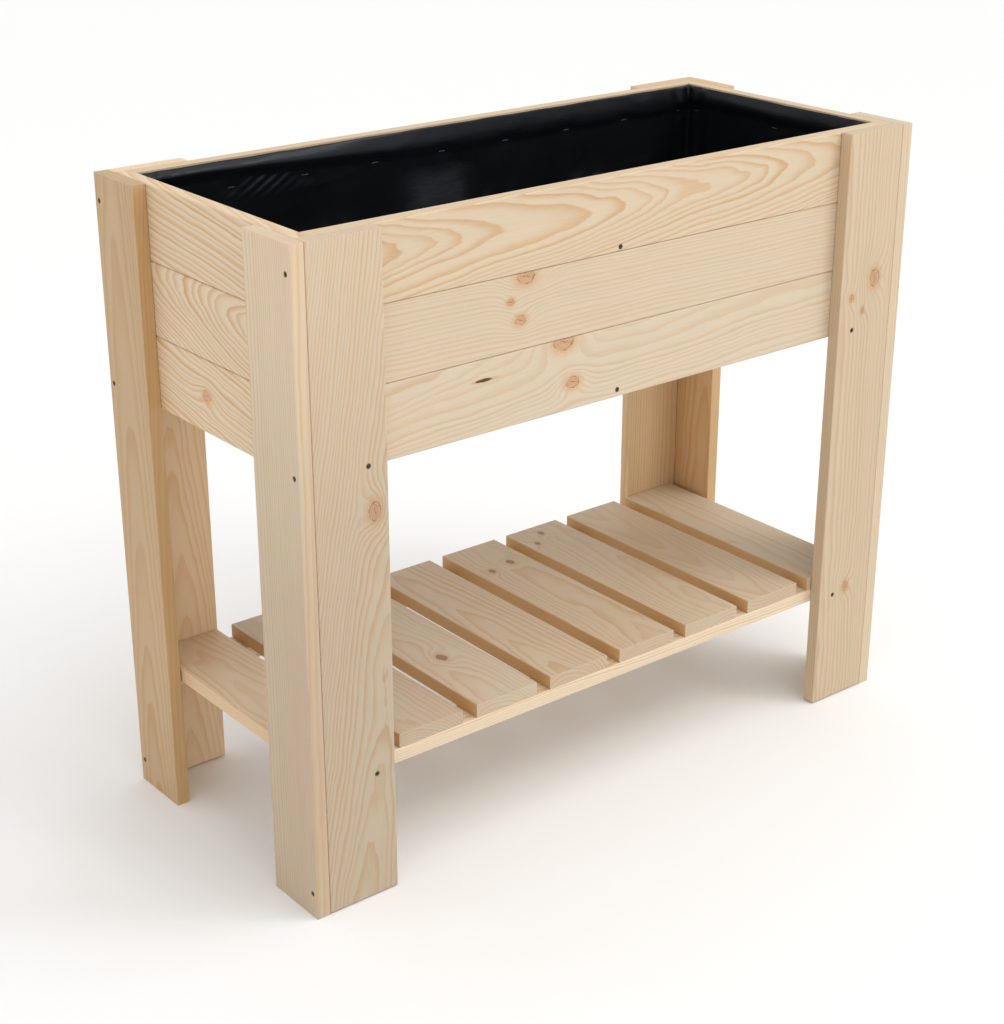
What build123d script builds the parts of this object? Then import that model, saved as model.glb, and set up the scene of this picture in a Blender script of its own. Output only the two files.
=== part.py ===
from build123d import *
import os

# Raised planter on legs: a lined box of tongued and grooved boards held between four L-shaped legs,
# with a slatted shelf below. Millimetres, +Z up, X along the length, origin on the ground under the
# middle. The front is -Y.

# ---- driving dimensions ----
length = 1000.0
depth = 434.0
height = 848.0

board = 19.0  # thickness of every board
leg_end_width = 95.0  # leg board that shows on the planter's end
leg_face_width = 102.0  # leg board that shows on the planter's long face
face_board_lift = 2.0  # the long-face boards stop this far above the ground

wall_rows = 3
wall_cover = 94.5  # visible height of one wall board
tongue_thick = 6.0
tongue_high = 6.0
groove_play = 0.3
joint_chamfer = 1.2
seam_gap = 0.5  # open seam between the wall boards
joint_gap = 0.4  # open joint between boards that meet at a corner

bearer_wide = 45.0  # width of the battens that carry the floor and the shelf
batten_wide = 45.0
batten_x = -10.0  # middle of the upright battens inside the long walls
front_batten_top = 772.0
back_batten_top = 700.0
batten_screw_drop = 13.0  # a batten's upper screw lies this far under its top

floor_count = 9
floor_width = 95.0
floor_end_play = 0.5

shelf_top = 200.0
slat_count = 8
slat_width = 99.0
slat_pitch = 121.6
slat_start = 1.7  # between the left legs and the first slat; the rest of the play is at the right end
slat_setback = 1.0  # a slat's end stands this far behind the rail's face
end_play = 0.5

film = 0.8  # thickness of the liner
film_gap = 0.3
film_drop = 1.0  # the liner's edge lies this far under the rim

edge_round = 1.5  # planed edges

screw_head_r = 3.5
screw_head_h = 2.6
screw_shank_r = 2.0
screw_tip = 4.0
screw_sink = 1.0  # depth of a driven head under the wood's face
recess_span = 4.2
recess_wide = 0.9
recess_deep = 1.6
short_screw = 33.0  # through one board into another
edge_screw = 40.0  # through one board into another board's edge
long_screw = 50.0  # through two boards into a bearer

staple_wide = 10.0
staple_wire = 1.0
staple_leg = 8.0
staple_drop = 37.0  # staples under the rim
staple_inset = 20.0  # first staple from the corner
staples_long = 9
staples_end = 3

# ---- worked out from them ----
end_x = length / 2
face_y = depth / 2
wall_x = end_x - board  # outer face of the end walls, inner face of the legs
wall_y = face_y - board
inside_x = wall_x - board
inside_y = wall_y - board
box_bottom = height - wall_rows * wall_cover
floor_bottom = box_bottom + board
floor_top = floor_bottom + board
slat_bottom = shelf_top - board
rail_bottom = slat_bottom - board
rail_middle = rail_bottom + board / 2
bearer_middle = box_bottom + board / 2

sides = {"front": (0, -1), "back": (0, 1), "left": (-1, 0), "right": (1, 0)}
row_names = ["bottom", "middle", "top"]
corners = [(sx, sy) for sy in (-1, 1) for sx in (-1, 1)]
side_x = {-1: "left", 1: "right"}
side_y = {-1: "front", 1: "back"}


# ---- screws and staples, made once at the origin with the head's top at z = 0 ----
def screw_profile(long, above):
    """Half the outline of a countersunk screw, with its driven hole open by `above` over the head."""
    return [
        (0, above),
        (screw_head_r, above),
        (screw_head_r, 0),
        (screw_shank_r, -screw_head_h),
        (screw_shank_r, -(long - screw_tip)),
        (0, -long),
    ]


def turned(points):
    with BuildPart() as body:
        with BuildSketch(Plane.XZ):
            with BuildLine():
                Polyline(*dict.fromkeys(points), close=True)
            make_face()
        revolve(axis=Axis.Z)
    return body


def make_screw(long):
    body = turned(screw_profile(long, 0))
    with BuildPart() as screw:
        add(body.part)
        with BuildSketch():
            Rectangle(recess_span, recess_wide)
            Rectangle(recess_wide, recess_span)
        extrude(amount=-recess_deep, mode=Mode.SUBTRACT)
    return screw


screw_shapes = {long: make_screw(long) for long in (short_screw, edge_screw, long_screw)}
screw_holes = {long: turned(screw_profile(long, screw_sink)) for long in screw_shapes}

with BuildPart() as staple:
    with BuildSketch(Plane.XZ):
        with BuildLine():
            Polyline(
                (-staple_wide / 2, staple_wire),
                (staple_wide / 2, staple_wire),
                (staple_wide / 2, -staple_leg),
                (staple_wide / 2 - staple_wire, -staple_leg),
                (staple_wide / 2 - staple_wire, 0),
                (-staple_wide / 2 + staple_wire, 0),
                (-staple_wide / 2 + staple_wire, -staple_leg),
                (-staple_wide / 2, -staple_leg),
                close=True,
            )
        make_face()
    extrude(amount=staple_wire / 2, both=True)


def driven(x, y, z, out, sink=screw_sink):
    """Where a fastener sits: under the face point x, y, z, with its head towards `out`."""
    across = (1, 0, 0) if out[0] == 0 else (0, 1, 0)
    face = Vector(x, y, z) - Vector(*out) * sink
    upright = Plane(origin=face, x_dir=across, z_dir=out)
    return upright.location


def evenly(first, last, count):
    return [first + (last - first) * i / (count - 1) for i in range(count)]


row_middles = [box_bottom + wall_cover * (row + 0.5) for row in range(wall_rows)]
floor_pitch = (2 * inside_x - floor_width) / (floor_count - 1)
floor_middles = [-inside_x + floor_width / 2 + i * floor_pitch for i in range(floor_count)]
slat_first = -wall_x + slat_start + slat_width / 2
slat_middles = [slat_first + i * slat_pitch for i in range(slat_count)]

leg_screw_heights = [33.0, 579.0, 814.0]
face_screw_x = end_x - 94.0
wall_screw_x = wall_x - leg_face_width / 2
wall_screw_y = face_y - 57.0
batten_tops = {-1: front_batten_top, 1: back_batten_top}
bearer_screw_y = inside_y - bearer_wide / 2
rail_screw_y = wall_y - bearer_wide / 2

screw_groups = {
    # through the legs' end boards into the edges of their face boards
    "leg_joint_screws": (
        edge_screw,
        [
            driven(sx * end_x, sy * (face_y - board / 2), z, (sx, 0, 0))
            for sx, sy in corners
            for z in leg_screw_heights
        ],
    ),
    # through the legs' face boards into the shelf rails and the floor bearers
    "frame_screws": (
        long_screw,
        [
            driven(sx * face_screw_x, sy * face_y, z, (0, sy, 0))
            for sx, sy in corners
            for z in (rail_middle, bearer_middle)
        ],
    ),
    # through the long walls into the upright battens and the floor bearers
    "wall_middle_screws": (
        short_screw,
        [
            driven(batten_x, sy * wall_y, z, (0, sy, 0))
            for sy in side_y
            for z in (bearer_middle, batten_tops[sy] - batten_screw_drop)
        ],
    ),
    # from inside the box, through the wall boards into the legs
    "end_wall_screws": (
        short_screw,
        [
            driven(sx * inside_x, sy * wall_screw_y, z, (-sx, 0, 0))
            for sx, sy in corners
            for z in row_middles
        ],
    ),
    "long_wall_screws": (
        short_screw,
        [
            driven(sx * wall_screw_x, sy * inside_y, z, (0, -sy, 0))
            for sx, sy in corners
            for z in row_middles
        ],
    ),
    "floor_screws": (
        short_screw,
        [driven(x, sy * bearer_screw_y, floor_top, (0, 0, 1)) for sy in side_y for x in floor_middles],
    ),
    # from below, through the shelf rails into the slats
    "shelf_screws": (
        short_screw,
        [driven(x, sy * rail_screw_y, rail_bottom, (0, 0, -1)) for sy in side_y for x in slat_middles],
    ),
}

film_x = inside_x - film_gap - film
film_y = inside_y - film_gap - film
staple_z = height - staple_drop
staple_places = [
    driven(x, sy * film_y, staple_z, (0, -sy, 0), sink=0)
    for sy in side_y
    for x in evenly(-inside_x + staple_inset, inside_x - staple_inset, staples_long)
] + [
    driven(sx * film_x, y, staple_z, (-sx, 0, 0), sink=0)
    for sx in side_x
    for y in evenly(-inside_y + staple_inset, inside_y - staple_inset, staples_end)
]


# ---- helpers for the boards ----
def runs_through(place, long, x, y, z):
    """Whether a fastener of this length enters the box between the x, y and z limits."""
    head = place.position
    into = Plane(place).z_dir * -long
    for step in (0, 0.25, 0.5, 0.75, 1):
        p = head + into * step
        if x[0] <= p.X <= x[1] and y[0] <= p.Y <= y[1] and z[0] <= p.Z <= z[1]:
            return True
    return False


def drill(x, y, z):
    """Cut the holes of every fastener that enters this board, inside the board's own block."""
    for long, places in screw_groups.values():
        mine = [place for place in places if runs_through(place, long, x, y, z)]
        if mine:
            with Locations(*mine):
                add(screw_holes[long].part, mode=Mode.SUBTRACT)
    mine = [place for place in staple_places if runs_through(place, staple_leg, x, y, z)]
    if mine:
        with Locations(*mine):
            add(staple.part, mode=Mode.SUBTRACT)


def plain_board(x, y, z, along):
    """A planed board between the x, y and z limits, with its long edges rounded."""
    with BuildPart() as piece:
        with BuildSketch(Plane.XY.offset(z[0])):
            with Locations(((x[0] + x[1]) / 2, (y[0] + y[1]) / 2)):
                Rectangle(x[1] - x[0], y[1] - y[0])
        extrude(amount=z[1] - z[0])
        fillet(piece.edges().filter_by(along), edge_round)
        drill(x, y, z)
    return piece


def wall_board(out, row):
    """One tongued and grooved board of the wall whose outward direction is `out`."""
    ox, oy = out
    long = 2 * (inside_x - joint_gap if oy else wall_y)
    bottom = box_bottom + row * wall_cover
    has_tongue = row < wall_rows - 1
    body_high = wall_cover - seam_gap if has_tongue else wall_cover
    origin = (ox * inside_x, oy * inside_y, bottom)
    with BuildPart() as piece:
        with BuildSketch(Plane(origin=origin, x_dir=(ox, oy, 0), z_dir=(oy, -ox, 0))):
            Rectangle(board, body_high, align=(Align.MIN, Align.MIN))
            chamfer(vertices().group_by(Axis.X)[-1], joint_chamfer)
            if has_tongue:
                with Locations((board / 2, body_high)):
                    Rectangle(tongue_thick, tongue_high, align=(Align.CENTER, Align.MIN))
            if row > 0:
                with Locations((board / 2, 0)):
                    Rectangle(
                        tongue_thick + 2 * groove_play,
                        tongue_high + groove_play,
                        align=(Align.CENTER, Align.MIN),
                        mode=Mode.SUBTRACT,
                    )
        extrude(amount=long / 2, both=True)
        near_x = sorted((ox * inside_x, ox * wall_x)) if ox else (-inside_x, inside_x)
        near_y = sorted((oy * inside_y, oy * wall_y)) if oy else (-wall_y, wall_y)
        drill(near_x, near_y, (bottom, bottom + wall_cover + tongue_high))
    return piece


def between(sign, outer, inner):
    """The two limits sign * outer and sign * inner, low one first."""
    return tuple(sorted((sign * outer, sign * inner)))


made = {}

# ---- legs: an end board that covers the edge of a long-face board ----
for sx, sy in corners:
    corner = f"{side_y[sy]}_{side_x[sx]}_leg"
    made[f"{corner}_end_board"] = plain_board(
        between(sx, end_x, wall_x), between(sy, face_y, face_y - leg_end_width), (0, height), Axis.Z
    )
    made[f"{corner}_face_board"] = plain_board(
        between(sx, wall_x - joint_gap, wall_x - leg_face_width),
        between(sy, face_y, wall_y),
        (face_board_lift, height),
        Axis.Z,
    )

# ---- box: three boards on each side ----
for side, out in sides.items():
    for row in range(wall_rows):
        made[f"{side}_wall_{row_names[row]}_board"] = wall_board(out, row)

# ---- inside the box: bearers, drained floor and upright battens ----
for sy in side_y:
    across = between(sy, inside_y, inside_y - bearer_wide)
    reach = inside_x - end_play
    made[f"{side_y[sy]}_floor_bearer"] = plain_board(
        (-reach, reach), across, (box_bottom, floor_bottom), Axis.X
    )
    made[f"{side_y[sy]}_wall_batten"] = plain_board(
        (batten_x - batten_wide / 2, batten_x + batten_wide / 2),
        between(sy, inside_y, inside_y - board),
        (floor_top, batten_tops[sy]),
        Axis.Z,
    )
for i, x in enumerate(floor_middles):
    reach = inside_y - floor_end_play
    made[f"floor_board_{i + 1}"] = plain_board(
        (x - floor_width / 2, x + floor_width / 2), (-reach, reach), (floor_bottom, floor_top), Axis.Y
    )

# ---- shelf: two rails between the legs and eight slats across them ----
for sy in side_y:
    reach = wall_x - end_play
    made[f"{side_y[sy]}_shelf_rail"] = plain_board(
        (-reach, reach), between(sy, wall_y, wall_y - bearer_wide), (rail_bottom, slat_bottom), Axis.X
    )
for i, x in enumerate(slat_middles):
    reach = wall_y - slat_setback
    made[f"shelf_slat_{i + 1}"] = plain_board(
        (x - slat_width / 2, x + slat_width / 2), (-reach, reach), (slat_bottom, shelf_top), Axis.Y
    )


# ---- liner: a thin film bag inside the box, going round the upright battens ----
def bag(skin):
    """The space inside the walls, `skin` clear of the wood on every side, as one solid."""
    bottom = floor_top + skin
    half_batten = batten_wide / 2 + skin
    with BuildPart() as space:
        with BuildSketch(Plane.XY.offset(bottom)):
            Rectangle(2 * (inside_x - skin), 2 * (inside_y - skin))
        extrude(amount=height - film_drop - bottom)
        for sy in side_y:
            with BuildSketch(Plane.XY.offset(bottom)):
                with Locations((batten_x, sy * (inside_y - board / 2))):
                    Rectangle(2 * half_batten, board + 2 * skin)
            extrude(amount=batten_tops[sy] + skin - bottom, mode=Mode.SUBTRACT)
    return space


outer_bag = bag(film_gap)
inner_bag = bag(film_gap + film)
with BuildPart() as liner:
    add(outer_bag.part)
    add(inner_bag.part, mode=Mode.SUBTRACT)
    with Locations(*staple_places):
        add(staple.part, mode=Mode.SUBTRACT)
made["liner"] = liner

# ---- fasteners: one group of separate solids for each kind of joint ----
for name, (long, places) in screw_groups.items():
    with BuildPart() as group:
        with Locations(*places):
            add(screw_shapes[long].part)
    made[name] = group
with BuildPart() as liner_staples:
    with Locations(*staple_places):
        add(staple.part)
made["liner_staples"] = liner_staples

os.makedirs("parts", exist_ok=True)
for name, piece in made.items():
    piece.part.label = name
    export_step(piece.part, f"parts/{name}.step")
print(len(made), "pieces")
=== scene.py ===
import math
import random

import bmesh
import bpy
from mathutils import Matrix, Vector, noise


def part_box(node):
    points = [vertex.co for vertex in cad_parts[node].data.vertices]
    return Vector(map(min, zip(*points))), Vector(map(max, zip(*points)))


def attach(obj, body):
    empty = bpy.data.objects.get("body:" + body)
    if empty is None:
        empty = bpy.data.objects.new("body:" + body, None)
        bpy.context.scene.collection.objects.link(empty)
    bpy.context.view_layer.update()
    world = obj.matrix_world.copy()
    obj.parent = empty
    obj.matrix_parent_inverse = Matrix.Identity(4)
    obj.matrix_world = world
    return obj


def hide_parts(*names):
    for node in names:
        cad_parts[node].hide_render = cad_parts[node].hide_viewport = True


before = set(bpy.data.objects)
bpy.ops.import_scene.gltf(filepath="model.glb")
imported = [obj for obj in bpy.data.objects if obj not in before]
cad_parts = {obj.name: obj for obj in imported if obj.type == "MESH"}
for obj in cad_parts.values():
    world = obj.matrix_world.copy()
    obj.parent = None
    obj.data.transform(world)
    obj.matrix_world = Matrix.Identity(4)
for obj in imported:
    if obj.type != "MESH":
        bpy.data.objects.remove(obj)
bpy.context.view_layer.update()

MM = 0.001
X, Y, Z = 0, 1, 2


# ---------------------------------------------------------------- node trees
class Net:
    """Short calls that add nodes to a new material or world. Most return the new node's output socket."""

    def __init__(self, owner):
        self.owner = owner
        owner.use_nodes = True
        self.tree = owner.node_tree
        self.tree.nodes.clear()

    def node(self, kind, inputs, **settings):
        made = self.tree.nodes.new(kind)
        for key, value in settings.items():
            setattr(made, key, value)
        for key, value in inputs.items():
            if isinstance(value, bpy.types.NodeSocket):
                self.tree.links.new(value, made.inputs[key])
            else:
                made.inputs[key].default_value = value
        return made

    def math(self, operation, *values):
        return self.node("ShaderNodeMath", dict(enumerate(values)), operation=operation).outputs[0]

    def plus(self, first, second):
        return self.math("ADD", first, second)

    def minus(self, first, second):
        return self.math("SUBTRACT", first, second)

    def times(self, first, second):
        return self.math("MULTIPLY", first, second)

    def scaled(self, value, scale, base):
        """The value times the scale, added to the base."""
        return self.math("MULTIPLY_ADD", value, scale, base)

    def middled(self, value):
        """A noise of 0 to 1, moved to swing about zero."""
        return self.minus(value, 0.5)

    def length(self, x, y):
        return self.math("SQRT", self.plus(self.times(x, x), self.times(y, y)))

    def vector(self, operation, *values):
        return self.node("ShaderNodeVectorMath", dict(enumerate(values)), operation=operation).outputs[0]

    def join(self, x, y, z):
        return self.node("ShaderNodeCombineXYZ", {0: x, 1: y, 2: z}).outputs[0]

    def split(self, vector):
        return self.node("ShaderNodeSeparateXYZ", {0: vector}).outputs

    def noise(self, vector, scale=1.0, detail=2.0, rough=0.5, colour=False):
        inputs = {"Vector": vector, "Scale": scale, "Detail": detail, "Roughness": rough}
        return self.node("ShaderNodeTexNoise", inputs).outputs["Color" if colour else "Fac"]

    def line_noise(self, value):
        """Noise along a single number."""
        inputs = {"W": value, "Scale": 1.0, "Detail": 1.0}
        return self.node("ShaderNodeTexNoise", inputs, noise_dimensions="1D").outputs["Fac"]

    def random(self, value):
        return self.node("ShaderNodeTexWhiteNoise", {"W": value}, noise_dimensions="1D").outputs["Value"]

    def rise(self, value, low, high, to_low=0.0, to_high=1.0):
        """A smooth step from to_low to to_high as the value goes from low to high."""
        inputs = {0: value, 1: low, 2: high, 3: to_low, 4: to_high}
        return self.node("ShaderNodeMapRange", inputs, interpolation_type="SMOOTHSTEP").outputs[0]

    def mix(self, factor, first, second):
        made = self.node("ShaderNodeMix", {}, data_type="RGBA")
        for key, value in ((0, factor), (6, first), (7, second)):
            if isinstance(value, bpy.types.NodeSocket):
                self.tree.links.new(value, made.inputs[key])
            else:
                made.inputs[key].default_value = value if key == 0 else (*value, 1.0)
        return made.outputs[2]

    def surface(self, shader_inputs, height, depth, strength):
        """The shader and the output, with the height as a bump."""
        shader = self.node("ShaderNodeBsdfPrincipled", shader_inputs)
        bump = self.node("ShaderNodeBump", {"Height": height, "Distance": depth, "Strength": strength})
        self.tree.links.new(bump.outputs[0], shader.inputs["Normal"])
        self.node("ShaderNodeOutputMaterial", {0: shader.outputs[0]})
        return self.owner


# ---------------------------------------------------------------- pine boards
EARLY = (0.660, 0.560, 0.416)  # pale wood of the spring
LATE = (0.55, 0.310, 0.122)  # darker wood of the summer
PINK = (0.630, 0.482, 0.352)
WARM = (0.61, 0.40, 0.195)  # heartwood, more orange; on the back legs it also paints the orange light bounced into their shadow
SIDE_BOUNCE_LIGHT = (0.82, 0.475, 0.175)  # painted bounce light: the orange glow of the narrow sides, where light bounces between the boards
KNOT = (0.40, 0.19, 0.10)
KNOT_RING = (0.65, 0.41, 0.24)
BARK = (0.10, 0.045, 0.02)
RESIN = (0.60, 0.32, 0.12)

# how fine each pattern is: per mm along the grain, over the board's width and through it
WANDER = (0.0045, 0.011, 0.011)
RIPPLE = (0.020, 0.07, 0.07)
BROAD = (0.0035, 0.022, 0.022)
FIBRES = (0.018, 1.1, 1.1)
FLECKS = (0.10, 1.9, 1.9)
UNROUND = (0.09, 0.11, 0.05)
SAW_MARKS = (0.2, 0.9, 0.9)
SCUFFS = (0.05, 0.35, 0.35)

RIPPLE_SHARE = 0.42  # the rings' ripple, as a share of the pith's wave
RING_DRIFT = 1.8  # rings by which good and poor years crowd or spread
DRIFT_RATE = 0.045  # how often they change, per mm
SUMMER, AUTUMN, WINTER = 0.18, 0.90, 0.995  # where the dark wood starts, peaks and ends within a ring

KNOT_LONG = 0.72  # a knot is longer along the grain
KNOT_UNROUND = 0.55  # how far its outline strays, in radii
KNOT_REACH = 2.6  # how far it bends the rings, in radii
KNOT_PUSH = 1.9  # and by how much
SLIT_WIDE = 0.16  # half width of a resin slit, as a share of its half length

SAWN_DEEP = (0.25, 0.6)  # mm from an end within which the wood looks sawn
SIDE_DEEP = (0.25, 0.9)  # mm from a narrow side within which it has painted bounce light and painted shadow
RUBBED = (0.2, 2.2)  # mm from an edge that is rubbed
RUB_UNEVEN = 3.5  # mm by which that strays
GRAIN_RELIEF = 0.00022  # metres


class Timber(Net):
    """The material of one board, in mm from its middle: along the grain, across its width and through it."""

    def __init__(self, name, node, along, across, seed):
        super().__init__(bpy.data.materials.new(name))
        low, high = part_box(node)
        centre = (Vector(low) + Vector(high)) / 2
        half = [(high[i] - low[i]) / 2 / MM for i in range(3)]
        through = 3 - along - across
        self.half_along, self.half_across, self.half_through = half[along], half[across], half[through]
        place = self.node("ShaderNodeTexCoord", {}).outputs["Object"]
        parts = self.split(self.vector("MULTIPLY", self.vector("SUBTRACT", place, centre), (1 / MM,) * 3))
        self.along, self.across, self.through = parts[along], parts[across], parts[through]
        self.seed = seed
        shift = (seed * 131.7, seed * 57.3, seed * 23.9)
        self.grain = self.vector("ADD", self.join(self.along, self.across, self.through), shift)
        self.unround = self.split(self.pattern(UNROUND, colour=True))

    def pattern(self, fineness, detail=2.0, rough=0.5, colour=False):
        place = self.vector("MULTIPLY", self.grain, fineness)
        return self.noise(place, detail=detail, rough=rough, colour=colour)

    def from_pith(self, pith, lean, taper, wave):
        """How far each point lies from the pith, which wanders along the tree."""
        wander = self.split(self.pattern(WANDER, colour=True))
        across = self.scaled(self.middled(wander[0]), 2 * wave, self.minus(self.across, pith[0]))
        across = self.scaled(self.along, -lean, across)
        through = self.scaled(self.middled(wander[1]), 2 * wave, self.minus(self.through, pith[1]))
        radius = self.scaled(self.along, taper, self.length(across, through))
        ripple = self.middled(self.pattern(RIPPLE, detail=3.0))
        return self.scaled(ripple, RIPPLE_SHARE * wave, radius)

    def from_knot(self, at, side, size):
        """A knot's size, then how far each point lies from it in all, along the grain and across."""
        x = self.times(self.minus(self.along, at), KNOT_LONG)
        y = self.minus(self.across, side)
        x = self.scaled(self.middled(self.unround[0]), KNOT_UNROUND * size, x)
        y = self.scaled(self.middled(self.unround[1]), KNOT_UNROUND * size, y)
        return size, self.length(x, y), x, y

    def push_aside(self, radius, size, reach):
        """The rings bend round a knot."""
        spread = self.math("DIVIDE", reach, KNOT_REACH * size)
        push = self.math("EXPONENT", self.times(self.times(spread, spread), -1.0))
        return self.scaled(push, KNOT_PUSH * size, radius)

    def summer_wood(self, radius, ring, band):
        """The dark part of each ring, 0 to 1: a slow darkening through the summer, then a sharp edge."""
        drift = self.line_noise(self.scaled(radius, DRIFT_RATE, self.seed * 3.1))
        count = self.scaled(drift, RING_DRIFT, self.math("DIVIDE", radius, ring))
        phase = self.math("FRACT", count)
        year = self.random(self.plus(self.math("FLOOR", count), self.seed * 7.0))
        late = self.times(self.rise(phase, SUMMER, AUTUMN), self.rise(phase, AUTUMN, WINTER, 1.0, 0.0))
        return self.times(self.math("POWER", late, band), self.scaled(year, 0.50, 0.50))

    def paint(self, share, colour):
        self.colour = self.mix(share, self.colour, colour)

    def carve(self, share, depth):
        self.height = self.minus(self.height, self.times(share, depth))

    def lay_wood(self, late, fibre, pink, warm, contrast, shade, painted_top_light):
        """Colour, tone and height of the plain wood; the tone also carries painted light and shadow."""
        broad = self.pattern(BROAD)
        fleck = self.pattern(FLECKS, detail=1.0)
        pale = tuple(e + (h - e) * warm for e, h in zip(EARLY, WARM))
        self.colour = self.mix(self.rise(broad, 0.35, 0.70, 0.0, pink), pale, PINK)
        self.paint(self.times(late, contrast), LATE)
        canals = self.times(self.rise(fleck, 0.70, 0.80), self.scaled(late, 0.6, 0.12))
        self.paint(self.times(canals, 0.5), KNOT)
        # the tone starts from shade, which paints light on some boards and shadow on others
        self.tone = self.scaled(self.middled(fibre), 0.20, shade)
        self.tone = self.scaled(self.middled(broad), 0.10, self.tone)
        # painted light: crown makes the board paler towards its high end, as light falls off lower down
        top_light_low, top_light_high = -0.3 * self.half_along, 1.1 * self.half_along
        self.tone = self.plus(self.tone, self.rise(self.along, top_light_low, top_light_high, 0.0, painted_top_light))
        self.height = self.scaled(late, 0.55, self.times(fibre, 0.6))

    def draw_knot(self, size, reach, x, y, tone):
        """A halo of resin, a ringed heart, a rim of bark and a crack across the heart."""
        self.paint(self.rise(reach, 0.9 * size, 2.3 * size, 0.55, 0.0), RESIN)
        rings = self.math("SINE", self.times(reach, math.tau / (0.16 * size + 0.6)))
        blotch = self.noise(self.join(x, y, size), scale=0.9 / size, detail=3.0)
        heart = self.mix(self.rise(rings, -0.6, 1.0, 0.45, 1.0), KNOT, KNOT_RING)
        heart = self.mix(self.rise(blotch, 0.50, 0.72, 0.0, 0.75), heart, KNOT)
        heart = self.vector("MULTIPLY", heart, (tone,) * 3)
        self.paint(self.rise(reach, 0.90 * size, 1.04 * size, 1.0, 0.0), heart)
        bark = self.times(self.rise(reach, 0.84 * size, 0.97 * size),
                          self.rise(reach, 0.99 * size, 1.10 * size, 1.0, 0.0))
        bark = self.times(bark, self.rise(blotch, 0.36, 0.60, 0.05, 0.65))
        self.paint(bark, BARK)
        off_crack = self.math("ABSOLUTE", self.scaled(x, 0.35, y))
        crack = self.times(self.rise(off_crack, 0.15, 0.55, 0.8, 0.0),
                           self.rise(reach, 0.15 * size, 0.75 * size, 1.0, 0.0))
        self.paint(crack, BARK)
        self.carve(self.plus(bark, crack), 0.9)

    def draw_slit(self, at, side, long):
        """A dark slit with resin about it."""
        x = self.math("DIVIDE", self.minus(self.along, at), long)
        y = self.math("DIVIDE", self.minus(self.across, side), SLIT_WIDE * long)
        reach = self.plus(self.math("ABSOLUTE", x), self.times(y, y))
        reach = self.scaled(self.middled(self.unround[0]), 0.7, reach)
        self.paint(self.rise(reach, 0.7, 1.7, 0.7, 0.0), RESIN)
        slit = self.rise(reach, 0.55, 0.95, 1.0, 0.0)
        self.paint(slit, BARK)
        self.carve(slit, 1.5)

    def finish_edges(self, fibre, edges):
        """Sawn ends, narrow sides with painted bounce light and painted shadow, and rubbed corners. Returns
        how worn each point is.
        """
        to_end = self.minus(self.half_along, self.math("ABSOLUTE", self.along))
        to_side = self.minus(self.half_across, self.math("ABSOLUTE", self.across))
        to_face = self.minus(self.half_through, self.math("ABSOLUTE", self.through))
        end = self.rise(to_end, *SAWN_DEEP, 1.0, 0.0)
        saw = self.pattern(SAW_MARKS, detail=3.0, rough=0.7)
        self.tone = self.times(self.tone, self.scaled(end, -0.06, 1.0))
        self.height = self.scaled(self.times(end, saw), 1.2, self.height)

        # painted light on the narrow sides: an orange bounce tint, then painted shadow that darkens them
        side = self.times(self.rise(to_side, *SIDE_DEEP, edges, 0.0), self.minus(1.0, end))
        side = self.times(side, self.rise(fibre, 0.35, 0.62, 0.75, 1.0))
        self.paint(side, SIDE_BOUNCE_LIGHT)
        self.tone = self.times(self.tone, self.scaled(side, -0.22, 1.0))

        nearest = self.math("MINIMUM", to_side, to_face)
        other = self.math("MAXIMUM", to_side, to_face)
        to_edge = self.math("MAXIMUM", nearest, self.math("MINIMUM", to_end, other))
        scuff = self.pattern(SCUFFS, detail=4.0, rough=0.7)
        worn = self.rise(self.scaled(self.middled(scuff), RUB_UNEVEN, to_edge), *RUBBED, 1.0, 0.0)
        self.tone = self.scaled(worn, 0.05, self.tone)
        self.paint(self.times(worn, 0.30), PINK)
        self.height = self.scaled(self.times(worn, scuff), -0.9, self.height)
        return worn


def pine(name, node, along, across, pith, lean=0.0, taper=0.02, ring=5.0, wave=7.0, knots=(), slits=(),
         pink=0.3, warm=0.0, edges=0.1, contrast=0.75, band=1.7, shade=1.0, painted_top_light=0.0, knot_tone=1.0, seed=0):
    """Solid pine for one board, with rings about its pith, so faces, narrow sides and ends agree.

    along and across are the axes of the grain and the board's width. pith is the middle of the tree, in
    mm from the board's middle over its width and its thickness, lean is how far it drifts over the width
    along the grain, and taper is how fast the rings widen. A knot is (along, across, radius) and a resin
    slit (along, across, half length), in mm.
    pink and warm tint the wood; on the back legs warm also paints the orange light bounced into their
    shadow. edges paints bounce light and shadow on its narrow sides, and shade scales its tone and on some
    boards paints their light and shadow. A low band makes the dark part of each ring broad, crown paints
    light that makes the board paler towards its high end, and a low knot_tone darkens its knots.
    """
    wood = Timber(name, node, along, across, seed)
    spots = [wood.from_knot(*knot) for knot in knots]
    radius = wood.from_pith(pith, lean, taper, wave)
    for size, reach, _, _ in spots:
        radius = wood.push_aside(radius, size, reach)
    late = wood.summer_wood(radius, ring, band)
    fibre = wood.pattern(FIBRES, detail=4.0, rough=0.62)
    wood.lay_wood(late, fibre, pink, warm, contrast, shade, painted_top_light)
    for spot in spots:
        wood.draw_knot(*spot, knot_tone)
    for slit in slits:
        wood.draw_slit(*slit)
    worn = wood.finish_edges(fibre, edges)
    toned = wood.vector("MULTIPLY", wood.colour, wood.join(wood.tone, wood.tone, wood.tone))
    gloss = wood.scaled(fibre, 0.22, 0.40)
    gloss = wood.scaled(late, -0.08, gloss)
    gloss = wood.scaled(worn, 0.10, gloss)
    inputs = {"Base Color": toned, "Roughness": gloss, "Specular IOR Level": 0.38}
    return wood.surface(inputs, wood.height, GRAIN_RELIEF, strength=0.55)


def cover(node, material):
    """Give a CAD node its material on every slot."""
    piece = bpy.data.objects[node]
    for slot in piece.material_slots:
        slot.material = material
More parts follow.
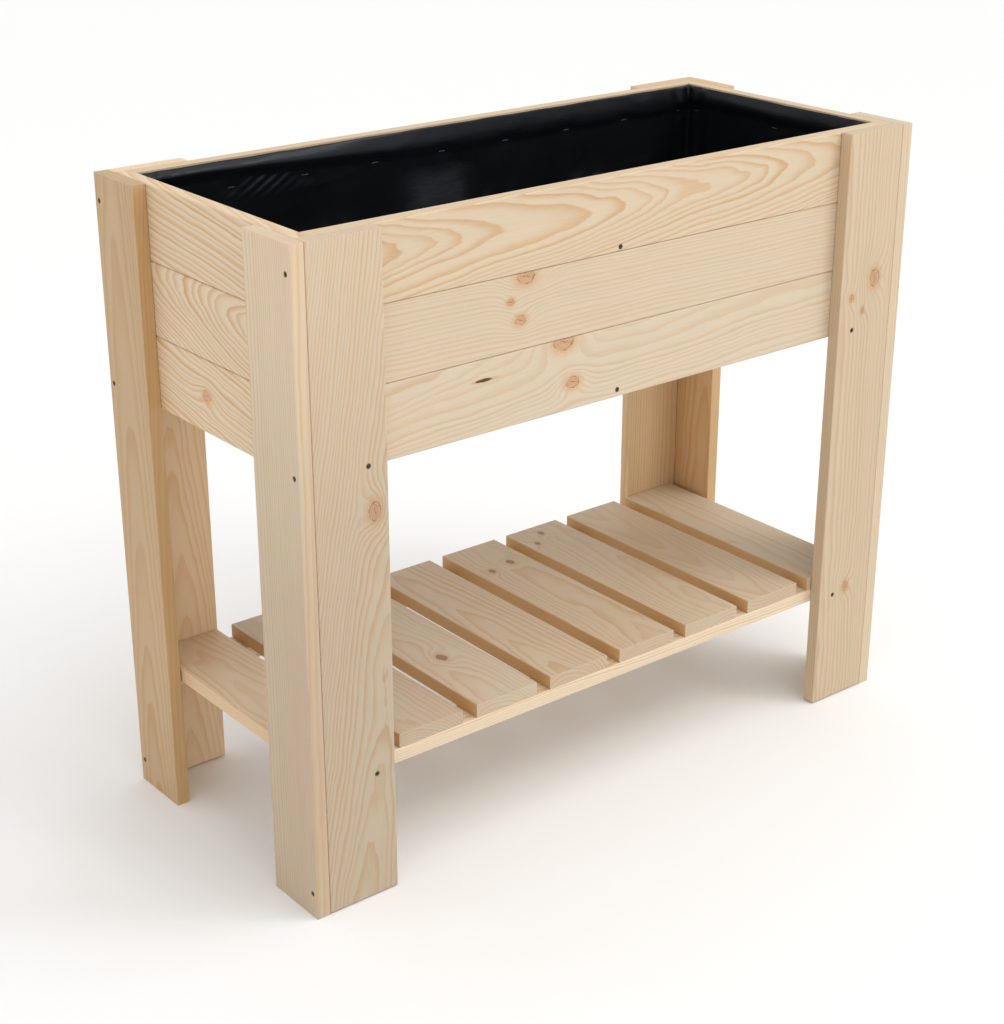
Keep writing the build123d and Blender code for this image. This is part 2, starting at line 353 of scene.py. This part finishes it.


# how the boards that show most were cut from their trees, with their tints and, on some, painted light and
# shadow
CUTS = {
    "front_wall_top_board": dict(
        pith=(13, 36), lean=0.01, taper=0.085, ring=4.7, wave=8,
        pink=0.15, contrast=0.8, shade=1.03, seed=4),
    "front_wall_middle_board": dict(
        pith=(-95, 60), taper=0.012, ring=4.4, wave=5,
        pink=0.35, contrast=0.42, seed=2,
        knots=((-160, 40, 9.5), (-183, 12, 4), (-168, -13, 6))),
    "front_wall_bottom_board": dict(
        pith=(60, 80), taper=0.03, ring=5.2, wave=9,
        pink=0.35, contrast=0.45, seed=3,
        knots=((-100, 41, 11), (-85, -14, 7.5)), slits=((-223, 18, 17),)),
    "left_wall_top_board": dict(
        pith=(85, 22), taper=0.14, ring=7.5, wave=8,
        pink=0.1, warm=0.2, contrast=1.0, band=0.9, shade=1.11, seed=5),
    "left_wall_middle_board": dict(
        pith=(30, 24), lean=0.12, taper=0.26, ring=6.0, wave=12,
        pink=0.1, warm=0.2, contrast=1.0, band=1.0, shade=1.11, seed=6),
    "left_wall_bottom_board": dict(
        pith=(75, 30), taper=0.17, ring=5.6, wave=12,
        pink=0.1, warm=0.2, contrast=1.0, band=0.9, shade=1.11, seed=7,
        knots=((8, -2, 6.5),)),
    # on the front legs, shade and crown paint light that falls off towards the foot
    "front_left_leg_face_board": dict(
        pith=(56, 52), lean=0.12, taper=0.04, ring=4.0, wave=7,
        pink=0.5, warm=0.15, contrast=0.6, shade=0.78, painted_top_light=0.21, seed=8,
        knots=((92, 31, 8.5),)),
    "front_left_leg_end_board": dict(
        pith=(70, 45), taper=0.004, ring=3.4, wave=3,
        pink=1.0, warm=0.15, contrast=0.6, edges=0.12, shade=0.85, painted_top_light=0.26, seed=9),
    "front_right_leg_face_board": dict(
        pith=(-62, 60), taper=0.01, ring=4.2, wave=6,
        pink=0.25, contrast=0.6, shade=0.91, painted_top_light=0.05, seed=10,
        knots=((217, 15, 9), (195, -29, 4), (174, -5, 3.5), (-247, 2, 5.5))),
    # on the back legs, shade and warm paint their light and shadow: orange bounce light and brighter inner
    # faces, and a darker end board on the left
    "back_left_leg_face_board": dict(
        pith=(0, -46), taper=0.06, ring=5.0, wave=7,
        pink=0.1, warm=0.45, contrast=0.6, shade=1.32, seed=11),
    "back_left_leg_end_board": dict(
        pith=(5, 50), taper=0.03, ring=4.6, wave=5,
        pink=0.1, warm=0.8, contrast=1.0, band=1.2, edges=0.5, shade=0.87, seed=12),
    "back_right_leg_face_board": dict(
        pith=(60, -50), taper=0.01, ring=4.6, wave=4,
        pink=0.1, warm=0.7, contrast=0.8, shade=1.08, seed=16),
    "back_right_leg_end_board": dict(
        pith=(-30, 40), taper=0.03, ring=4.4, wave=6,
        pink=0.1, warm=0.9, contrast=1.0, shade=1.10, seed=17),
    # on the slats, shade paints the light and shadow they get under the box
    "shelf_slat_1": dict(
        pith=(-10, -60), taper=0.03, ring=4.6, wave=8,
        pink=0.7, contrast=0.55, edges=0.3, shade=1.12, seed=19),
    "shelf_slat_2": dict(
        pith=(-30, -62), taper=0.02, ring=4.2, wave=7,
        pink=0.9, contrast=0.6, shade=0.86, seed=18),
    "shelf_slat_3": dict(
        pith=(-20, -70), taper=0.03, ring=4.6, wave=8,
        pink=0.7, contrast=0.5, seed=13,
        knots=((-64, -5, 6.5),)),
    "shelf_slat_5": dict(
        pith=(15, -60), taper=0.03, ring=4.8, wave=9,
        pink=0.7, contrast=0.6, seed=14,
        knots=((109, -25, 4.5), (118, 16, 5.5))),
    "shelf_slat_6": dict(
        pith=(30, -70), taper=0.02, ring=4.4, wave=8,
        pink=0.5, warm=0.15, contrast=0.6, seed=15,
        knots=((171, -2, 4.5), (144, -31, 4))),
}


def grain_and_width(node):
    """The axes of a board's grain and of its width, or nothing for a node that isn't a board."""
    if "leg" in node and node.endswith("board"):
        return Z, (Y if "end" in node else X)
    if "_wall_" in node and node.endswith("board"):
        return (X if node.startswith(("front", "back")) else Y), Z
    if node.endswith("batten"):
        return Z, X
    if node.startswith(("shelf_slat", "floor_board")):
        return Y, X
    if node.endswith(("rail", "bearer")):
        return X, Y
    return None


def boards():
    """Give every board of the planter its own wood, drawn at random where CUTS doesn't say."""
    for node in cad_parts:
        axes = grain_and_width(node)
        if axes is None:
            continue
        along, across = axes
        seed = sum(ord(letter) * (i + 1) for i, letter in enumerate(node)) % 97 + 20
        draw = random.Random(seed)
        cut = dict(
            pith=(draw.uniform(-55, 55), draw.choice((-1, 1)) * draw.uniform(35, 80)),
            taper=draw.uniform(-0.05, 0.05),
            ring=draw.uniform(3.8, 5.4),
            wave=draw.uniform(5, 10),
            pink=draw.uniform(0.1, 0.7),
            contrast=draw.uniform(0.5, 0.85),
            warm=draw.uniform(0.0, 0.3),
            seed=seed,
        )
        if node not in CUTS and not node.startswith("shelf"):
            low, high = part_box(node)
            reach = [(high[i] - low[i]) / 2 / MM for i in range(3)]
            cut["knots"] = tuple(
                (draw.uniform(-0.9, 0.9) * reach[along], draw.uniform(-0.75, 0.75) * reach[across],
                 draw.uniform(3.5, 7.5))
                for _ in range(draw.choice((0, 1, 1, 2)))
            )
        if node.startswith("shelf_slat"):
            # painted shadow: shade darkens every slat, as under the box, and edges paints bounce light on its
            # sides
            cut.update(shade=0.93, edges=0.85, knot_tone=0.6)
        if node.endswith("shelf_rail"):
            cut.update(shade=1.17, pink=0.1, edges=0.0, warm=0.0)
        cut.update(CUTS.get(node, {}))
        cover(node, pine("pine_" + node, node, along, across, **cut))


# ---------------------------------------------------------------- studio
def place_light(name, kind, power, colour, place, aim, **shape):
    """A light that points from its place towards its aim."""
    data = bpy.data.lights.new(name, kind)
    data.energy, data.color = power, colour
    for key, value in shape.items():
        setattr(data, key, value)
    lamp = bpy.data.objects.new(name, data)
    bpy.context.collection.objects.link(lamp)
    lamp.location = place
    lamp.rotation_euler = (Vector(aim) - Vector(place)).to_track_quat("-Z", "Y").to_euler()


def studio():
    """Pale floor, white surroundings and large soft lights."""
    bpy.ops.mesh.primitive_plane_add(size=60)
    floor = bpy.context.object
    floor.name = "floor"
    net = Net(bpy.data.materials.new("floor_paper"))
    place = net.node("ShaderNodeTexCoord", {}).outputs["Object"]
    tooth = net.noise(place, scale=90.0, detail=3.0)
    paper = net.mix(net.times(tooth, 0.25), (0.93, 0.93, 0.93), (0.90, 0.90, 0.90))
    inputs = {"Base Color": paper, "Roughness": 0.8}
    floor.data.materials.append(net.surface(inputs, tooth, depth=0.0002, strength=0.2))
    world = bpy.data.worlds.new("studio")
    net = Net(world)
    height = net.split(net.node("ShaderNodeTexCoord", {}).outputs["Generated"])[2]
    glow = net.rise(height, 0.22, 0.45, 1.02, 0.79)  # whitest along the horizon, where it meets the floor
    sky = net.node("ShaderNodeBackground", {"Color": (1.0, 1.0, 1.0, 1.0), "Strength": glow})
    net.node("ShaderNodeOutputWorld", {0: sky.outputs[0]})
    bpy.context.scene.world = world
    place_light("overhead", "SUN", 0.90, (1.0, 0.985, 0.96),
                place=(0.0, 0.0, 0.0), aim=(-0.25, 0.42, -1.0), angle=math.radians(50))
    place_light("key", "AREA", 15, (0.97, 0.985, 1.0),
                place=(1.76, -1.9, 2.7), aim=(0.0, 0.0, 0.7), shape="DISK", size=1.0)
    bpy.context.scene.view_settings.view_transform = "Standard"


def camera():
    """The photograph's viewpoint, turned down to the planter."""
    data = bpy.data.cameras.new("camera")
    data.lens = 68.5
    data.sensor_width = 36.0
    seen_by = bpy.data.objects.new("camera", data)
    bpy.context.collection.objects.link(seen_by)
    seen_by.location = (-1.577, -1.919, 1.390)
    azimuth, down = math.radians(38.74), math.radians(22.95)
    look = Vector((math.sin(azimuth) * math.cos(down), math.cos(azimuth) * math.cos(down), -math.sin(down)))
    seen_by.rotation_euler = look.to_track_quat("-Z", "Y").to_euler()
    bpy.context.scene.camera = seen_by


def metal(name, colour, rough):
    """Dull wire or screw metal with small scratches and stains."""
    net = Net(bpy.data.materials.new(name))
    place = net.node("ShaderNodeTexCoord", {}).outputs["Object"]
    stain = net.noise(place, scale=900.0, detail=3.0)
    scratch = net.noise(net.vector("MULTIPLY", place, (1.0, 1.0, 7.0)), scale=1400.0)
    tone = net.mix(net.rise(stain, 0.40, 0.65), colour, tuple(c * 0.45 for c in colour))
    inputs = {"Base Color": tone, "Metallic": 0.85, "Roughness": net.scaled(stain, 0.35, rough)}
    return net.surface(inputs, scratch, depth=0.0001, strength=0.3)


def fixings():
    """Dark steel screws and galvanised staples."""
    screw_steel = metal("dull_steel", (0.17, 0.14, 0.11), 0.30)
    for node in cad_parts:
        if node.endswith("screws"):
            cover(node, screw_steel)
    cover("liner_staples", metal("galvanised_wire", (0.24, 0.24, 0.26), 0.40))


# ---------------------------------------------------------------- liner, in metres
BACK, FRONT, RIGHT, LEFT = 1, 2, 3, 4
STAPLES = (9, 3)  # along a long wall and along an end wall
STAPLE_INSET = 0.020  # from the corner to the first staple
STAPLE_DROP = 0.037  # from the rim down to a staple
WALL_SHIFT = 11.3  # how far apart the walls lie in the noise, so that each has its own folds

FILM_THICK = 0.0003
CLEARANCE = 0.0003  # between the film and what it lies on
CAD_SKIN = 0.0008  # wall thickness of the CAD liner
FLOOR_BAND = 0.004  # above the floor up to here, the film still counts as floor
GRID_LONG, GRID_DEEP = 0.0045, 0.0055  # size of the film's mesh along the planter and across it
GRID_TALL, GRID_RIM, RIM_BAND = 0.008, 0.0022, 0.070  # up the walls, and finer in the band under the rim
CORNER_ROUNDS = 6  # smoothing passes that round the bag's corners
RIM_GAP, RIM_WAVE = 0.0004, 0.0006  # the film's edge lies under the rim and rises and falls a little

CREASE_DEEP, SWELL_DEEP = 0.0034, 0.0010  # on the floor
UPRIGHT_DEEP, SLANT_DEEP, RIPPLE_DEEP = 0.0060, 0.0036, 0.0008  # on the walls
PUCKER_DEEP, PUCKER_PITCH, PUCKER_DROP = 0.0013, 0.020, 0.040
PUCKERED = -0.283  # on the back wall, the middle of a group of strong puckers


def film_material():
    """Glossy black film with a haze and fine creases."""
    net = Net(bpy.data.materials.new("black_film"))
    place = net.node("ShaderNodeTexCoord", {}).outputs["Object"]
    haze = net.noise(place, scale=14.0, detail=4.0)
    crease = net.noise(net.vector("MULTIPLY", place, (1.0, 1.0, 2.0)), scale=38.0, detail=4.0, rough=0.6)
    tone = net.mix(haze, (0.0042, 0.0046, 0.0055), (0.0072, 0.0080, 0.0098))
    inputs = {"Base Color": tone, "Roughness": net.scaled(haze, 0.14, 0.22),
              "Specular IOR Level": 0.26, "Specular Tint": (0.82, 0.90, 1.0, 1.0)}
    return net.surface(inputs, crease, depth=0.0012, strength=0.3)


def bump(value, width):
    """1 at zero, falling smoothly to nothing at +-width."""
    share = min(1.0, abs(value) / width)
    return (1.0 - share * share) ** 2


def smooth(value, low, high):
    """A smooth step from 0 to 1 as the value goes from low to high."""
    share = max(0.0, min(1.0, (value - low) / (high - low)))
    return share * share * (3 - 2 * share)


def steps(low, high, size):
    """Evenly spaced places from low to high, about a size apart."""
    count = max(1, round(abs(high - low) / size))
    return [low + (high - low) * i / count for i in range(count + 1)]


def swing(x, y, z):
    """Smooth noise about zero."""
    return noise.noise(Vector((x, y, z)))


def ridge(value, narrow, power):
    """A fold along the line where the value is zero, 1 high."""
    return max(0.0, 1 - narrow * abs(value)) ** power


def edge_fold(along, down, wall):
    """The film above the staples leans out from the rim to a crease, then back to the wall below it."""
    if wall == BACK:  # short and steep at the left, long and flat at the right
        drop = 0.010 + 0.018 * smooth(along, -0.42, 0.06)
        out = 0.0064 - 0.0030 * smooth(along, -0.24, 0.12)
    else:
        drop = 0.018 + 0.006 * swing(along * 4.5, 0.0, wall * WALL_SHIFT)
        out = 0.0036 + 0.0016 * swing(along * 5.5, 4.0, wall * WALL_SHIFT)
    if down < drop:
        return out * math.sin(0.5 * math.pi * (down / drop) ** 1.15)
    return out * (1 - smooth(down, drop, drop + 0.013))


def floor_creases(x, y, turn, shift):
    """Long narrow folds, from 0 to 1, that run at an angle across the floor in some patches of it."""
    along = x * math.cos(turn) + y * math.sin(turn)
    across = y * math.cos(turn) - x * math.sin(turn)
    bend = 0.35 * swing(along * 5, across * 5, shift + 2)
    line = swing(along * 1.7, across * 10 + bend, shift)
    patch = smooth(swing(x * 4, y * 4, shift + 5), -0.25, 0.30)
    return patch * ridge(line, 5.5, 1.5)


def slack_folds(along, z, rim, shift):
    """Folds of the loose film, faint at the top and deeper lower down."""
    loose = 1 - 0.88 * smooth(z, rim - 0.130, rim - 0.085)
    warp = 0.5 * swing(along * 6, z * 9, shift)
    upright = swing(along * 8 + warp, z * 2.6, shift + 4)
    slant = swing(along * 4 + z * 7, z * 13 - along * 3, shift + 9)
    ripple = 1 + swing(along * 17, z * 13, shift + 2)
    folds = UPRIGHT_DEEP * loose * ridge(upright, 3.2, 2) + SLANT_DEEP * loose * ridge(slant, 3.6, 2)
    return folds + RIPPLE_DEEP * (0.4 + loose) * ripple


def puckers(along, down, gap, wall):
    """Small folds that run up and along between two staples, gap metres from the nearer one."""
    near = 0.35 * bump(gap, 0.040) * bump(down - PUCKER_DROP, 0.020)
    if wall == BACK:
        near += 2.2 * bump(along - PUCKERED, 0.070) * bump(down - PUCKER_DROP, 0.022)
    wave = math.sin(2 * math.pi * (along + 1.6 * down) / PUCKER_PITCH)
    return PUCKER_DEEP * near * max(0.0, wave) ** 1.5


def pleats(corner, z, shift):
    """Two upright folds beside a corner of the box."""
    sway = 0.004 * swing(0.0, z * 12, shift)
    return 0.0030 * bump(corner - 0.016 - sway, 0.010) + 0.0014 * bump(corner - 0.040 + 1.5 * sway, 0.012)


def fold_depth(place, half_x, half_y, floor, rim):
    """How far the film stands off the wall or the floor at this place."""
    x, y, z = place
    if z < floor + FLOOR_BAND:
        creases = floor_creases(x, y, 0.5, 3.1) + floor_creases(x, y, -0.8, 8.0)
        return CREASE_DEEP * creases + SWELL_DEEP * (1 + swing(x * 9, y * 9, 0.5))
    long_wall = half_y - abs(y) < half_x - abs(x)
    along, half = (x, half_x) if long_wall else (y, half_y)
    wall = (BACK if y > 0 else FRONT) if long_wall else (RIGHT if x > 0 else LEFT)
    shift, down = wall * WALL_SHIFT, rim - z
    pitch = 2 * (half - STAPLE_INSET) / (STAPLES[0 if long_wall else 1] - 1)
    place_in_row = (along + half - STAPLE_INSET) / pitch
    gap = abs(place_in_row - round(place_in_row)) * pitch
    depth = slack_folds(along, z, rim, shift) + edge_fold(along, down, wall)
    depth += puckers(along, down, gap, wall) + pleats(half - abs(along), z, shift)
    held = math.exp(-((gap / 0.014) ** 2)) * bump(down - STAPLE_DROP, 0.014)
    depth *= 1 - 0.9 * held
    return depth * smooth(down, -0.003, 0.003) + CLEARANCE


def over_batten(place, low, high, flat_level):
    """How far the film must stand off a long wall to pass over its upright batten, whose box is given.

    At the flat level, the film lies on the wall again.
    """
    middle, half = (low[0] + high[0]) / 2, (high[0] - low[0]) / 2
    sideways = 1 - smooth(abs(place[0] - middle), half + 0.002, half + 0.075)
    upwards = 1 - smooth(place[2], high[2] + 0.001, min(high[2] + 0.105, flat_level))
    return (high[1] - low[1] + 0.0012) * sideways * upwards


def plain_bag(half_x, half_y, floor, rim):
    """An open bag of one grid of faces, with rounded corners, whose faces look inwards."""
    xs, ys = steps(-half_x, half_x, GRID_LONG), steps(-half_y, half_y, GRID_DEEP)
    zs = steps(floor, rim - RIM_BAND, GRID_TALL) + steps(rim - RIM_BAND, rim, GRID_RIM)[1:]
    bm = bmesh.new()
    base = [[bm.verts.new((x, y, floor)) for y in ys] for x in xs]
    last_x, last_y = len(xs) - 1, len(ys) - 1
    for i in range(last_x):
        for j in range(last_y):
            bm.faces.new((base[i][j], base[i + 1][j], base[i + 1][j + 1], base[i][j + 1]))
    below = [base[i][0] for i in range(last_x)] + [base[last_x][j] for j in range(last_y)]
    below += [base[i][last_y] for i in range(last_x, 0, -1)] + [base[0][j] for j in range(last_y, 0, -1)]
    for z in zs[1:]:
        above = [bm.verts.new((v.co.x, v.co.y, z)) for v in below]
        for i, v in enumerate(below):
            after = (i + 1) % len(below)
            bm.faces.new((below[after], v, above[i], above[after]))
        below = above
    inner = [v for v in bm.verts if v.co.z < rim - 1e-6]
    for _ in range(CORNER_ROUNDS):
        bmesh.ops.smooth_vert(bm, verts=inner, factor=0.5, use_axis_x=True, use_axis_y=True, use_axis_z=True)
    bm.normal_update()
    return bm


def film_bag():
    """The liner as one closed sheet: a bag that lies against the box, with its slack in folds."""
    low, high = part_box("liner")
    half_x, half_y, floor, rim = high[0] - CAD_SKIN, high[1] - CAD_SKIN, low[2] + CAD_SKIN, high[2]
    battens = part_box("front_wall_batten"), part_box("back_wall_batten")
    bm = plain_bag(half_x, half_y, floor, rim)
    moves = []
    for v in bm.verts:
        depth = fold_depth(v.co, half_x, half_y, floor, rim)
        if half_y - abs(v.co.y) < 0.004 and v.co.z > floor + 0.003:
            lift = over_batten(v.co, *battens[v.co.y > 0], flat_level=rim - 0.036)
            depth = max(depth, lift + 0.4 * depth)
        moves.append(v.normal * depth)
    for v, move in zip(bm.verts, moves):
        move.z = max(0.0, move.z)
        v.co += move
        if v.co.z > rim - RIM_GAP:
            v.co.z = rim - RIM_GAP - RIM_WAVE * (1 + noise.noise(v.co * 30))
    for face in bm.faces:
        face.smooth = True
    bmesh.ops.solidify(bm, geom=bm.faces[:], thickness=FILM_THICK)
    mesh = bpy.data.meshes.new("liner_film")
    bm.to_mesh(mesh)
    bm.free()
    piece = bpy.data.objects.new("liner_film", mesh)
    bpy.context.collection.objects.link(piece)
    mesh.materials.append(film_material())
    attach(piece, "root")
    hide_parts("liner")


camera()
studio()
boards()
fixings()
film_bag()
